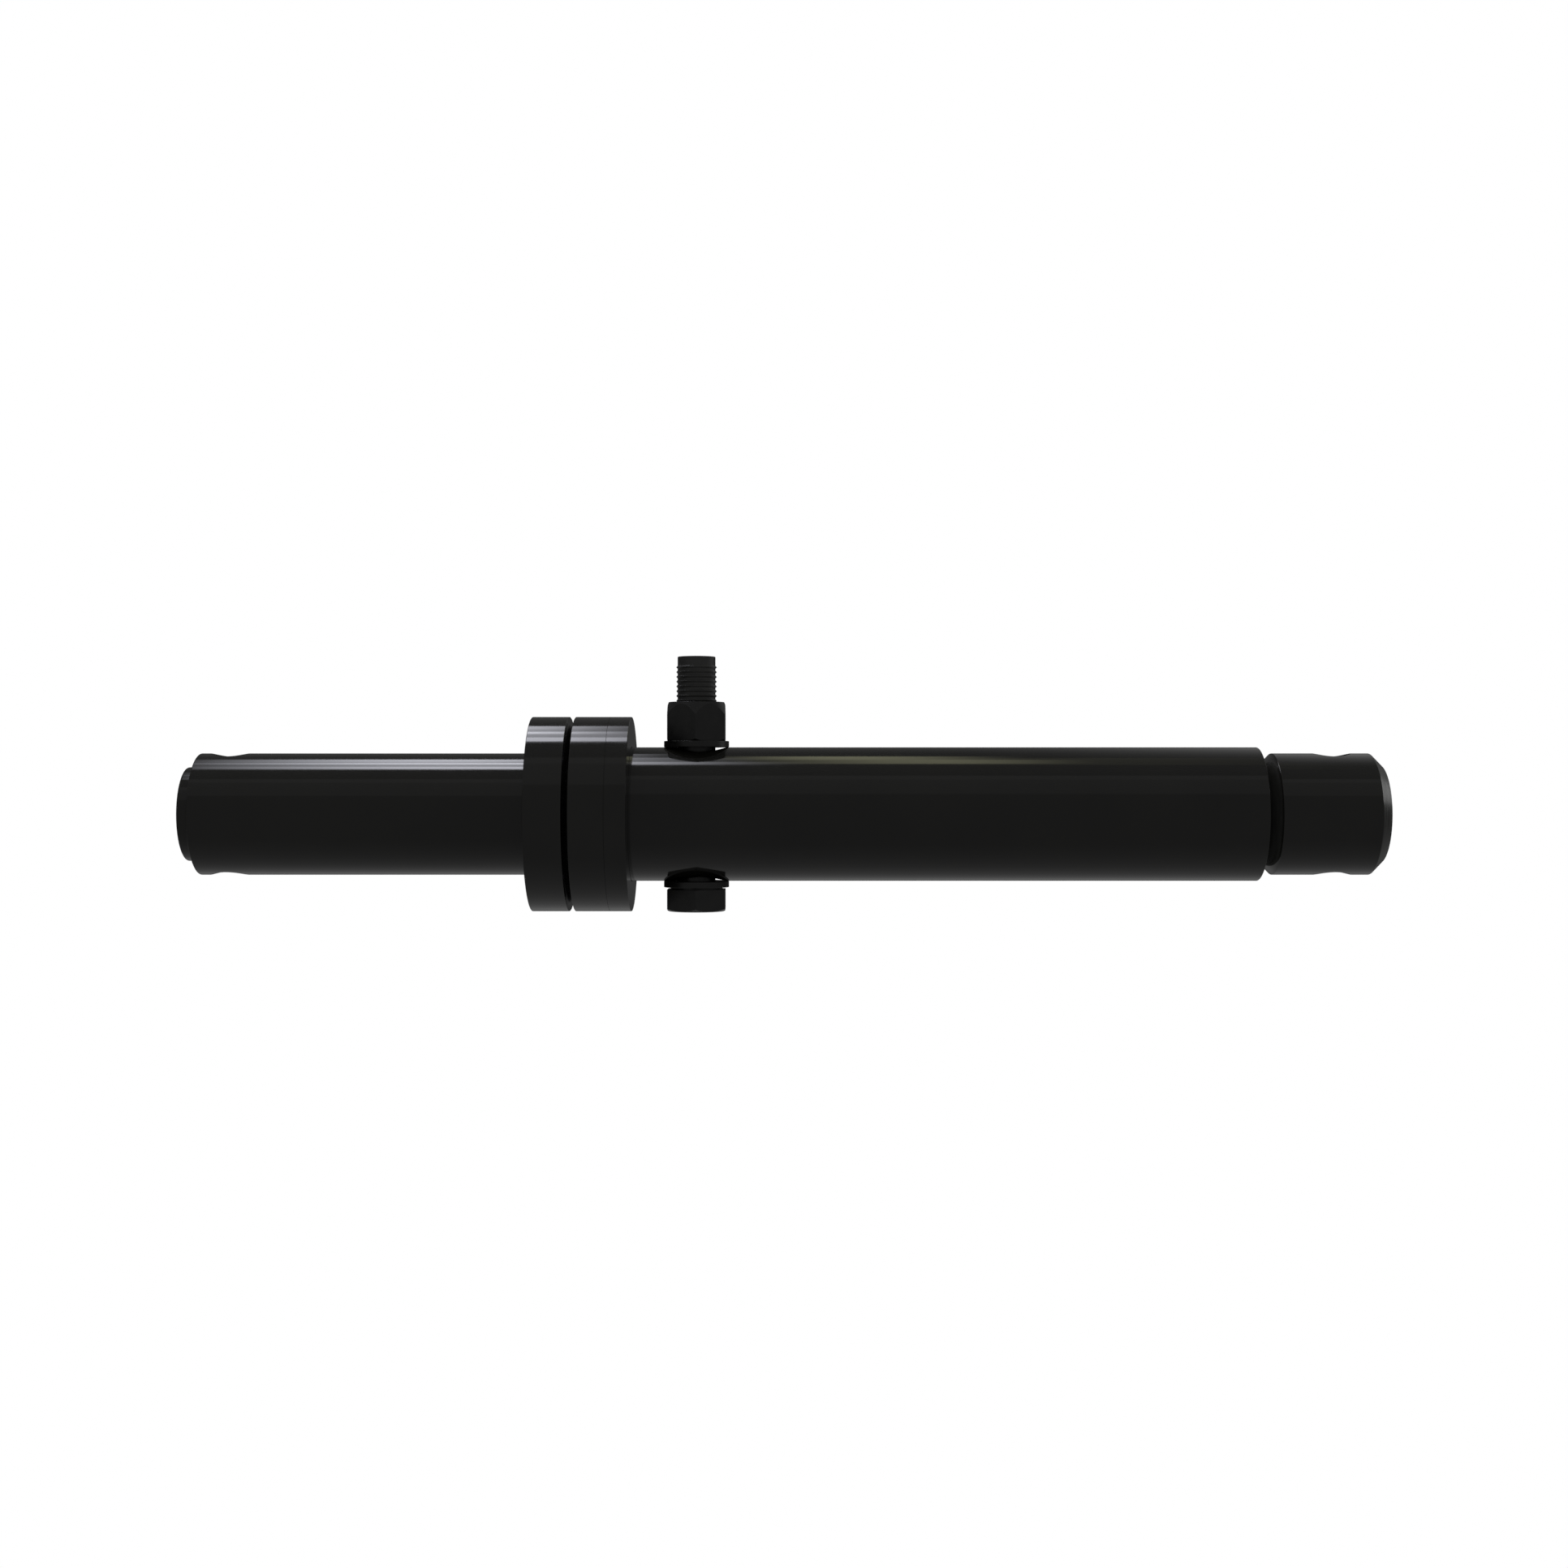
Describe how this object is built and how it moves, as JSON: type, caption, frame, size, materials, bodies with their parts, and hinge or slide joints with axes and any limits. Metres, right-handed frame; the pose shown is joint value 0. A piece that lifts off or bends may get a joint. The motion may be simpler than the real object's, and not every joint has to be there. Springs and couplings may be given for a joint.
{
  "type": "telescoping hydraulic cylinder",
  "caption": "Slim black single-acting hydraulic ram: a flanged plunger tube slides in a flanged barrel with a cross bolt, a hose port and a pin eye at each end.",
  "frame": {"origin": "centre of the base pin eye, on the cylinder's axis", "axes": "+X out of the base end along the cylinder's axis, so the plunger slides out towards -X; +Y towards the hose port; +Z along both pin eyes and the cross bolt, towards the lock nut"},
  "size_m": [0.6232, 0.1051, 0.1331],
  "materials": {
    "black_paint": "semi-gloss black enamel with a fine orange peel",
    "black_steel": "satin black oxide",
    "bare_steel": "turned and lightly oiled",
    "bronze": "bored bearing bronze",
    "urethane": "smooth moulded polyurethane",
    "bearing_resin": "cloth-filled resin",
    "rubber": "nitrile rubber"
  },
  "bodies": {
    "barrel": {"barrel_tube": "black_paint", "barrel_flange": "black_paint", "gland_flange": "black_paint", "guide_bush": "bronze", "wiper_ring": "urethane", "flange_screw_1": "black_steel", "flange_screw_2": "black_steel", "flange_screw_3": "black_steel", "flange_screw_4": "black_steel", "flange_screw_5": "black_steel", "flange_screw_6": "black_steel", "base_plug": "black_paint", "cross_bolt": "black_steel", "lock_nut": "black_steel", "upper_washer": "black_steel", "lower_washer": "black_steel", "port_fitting": "bare_steel", "port_seal_washer": "rubber"},
    "plunger": {"plunger_tube": "black_paint", "stop_flange": "black_paint", "rod_eye": "black_paint", "piston": "bare_steel", "piston_seal": "urethane", "piston_wear_ring_1": "bearing_resin", "piston_wear_ring_2": "bearing_resin", "piston_o_ring": "rubber", "piston_lock_screw_1": "black_steel", "piston_lock_screw_2": "black_steel"}
  },
  "joints": [
    {"name": "plunger_slide", "type": "slide", "parent": "barrel", "child": "plunger", "axis": [-1, 0, 0], "range_m": [-0.0029, 0.163]}
  ]
}
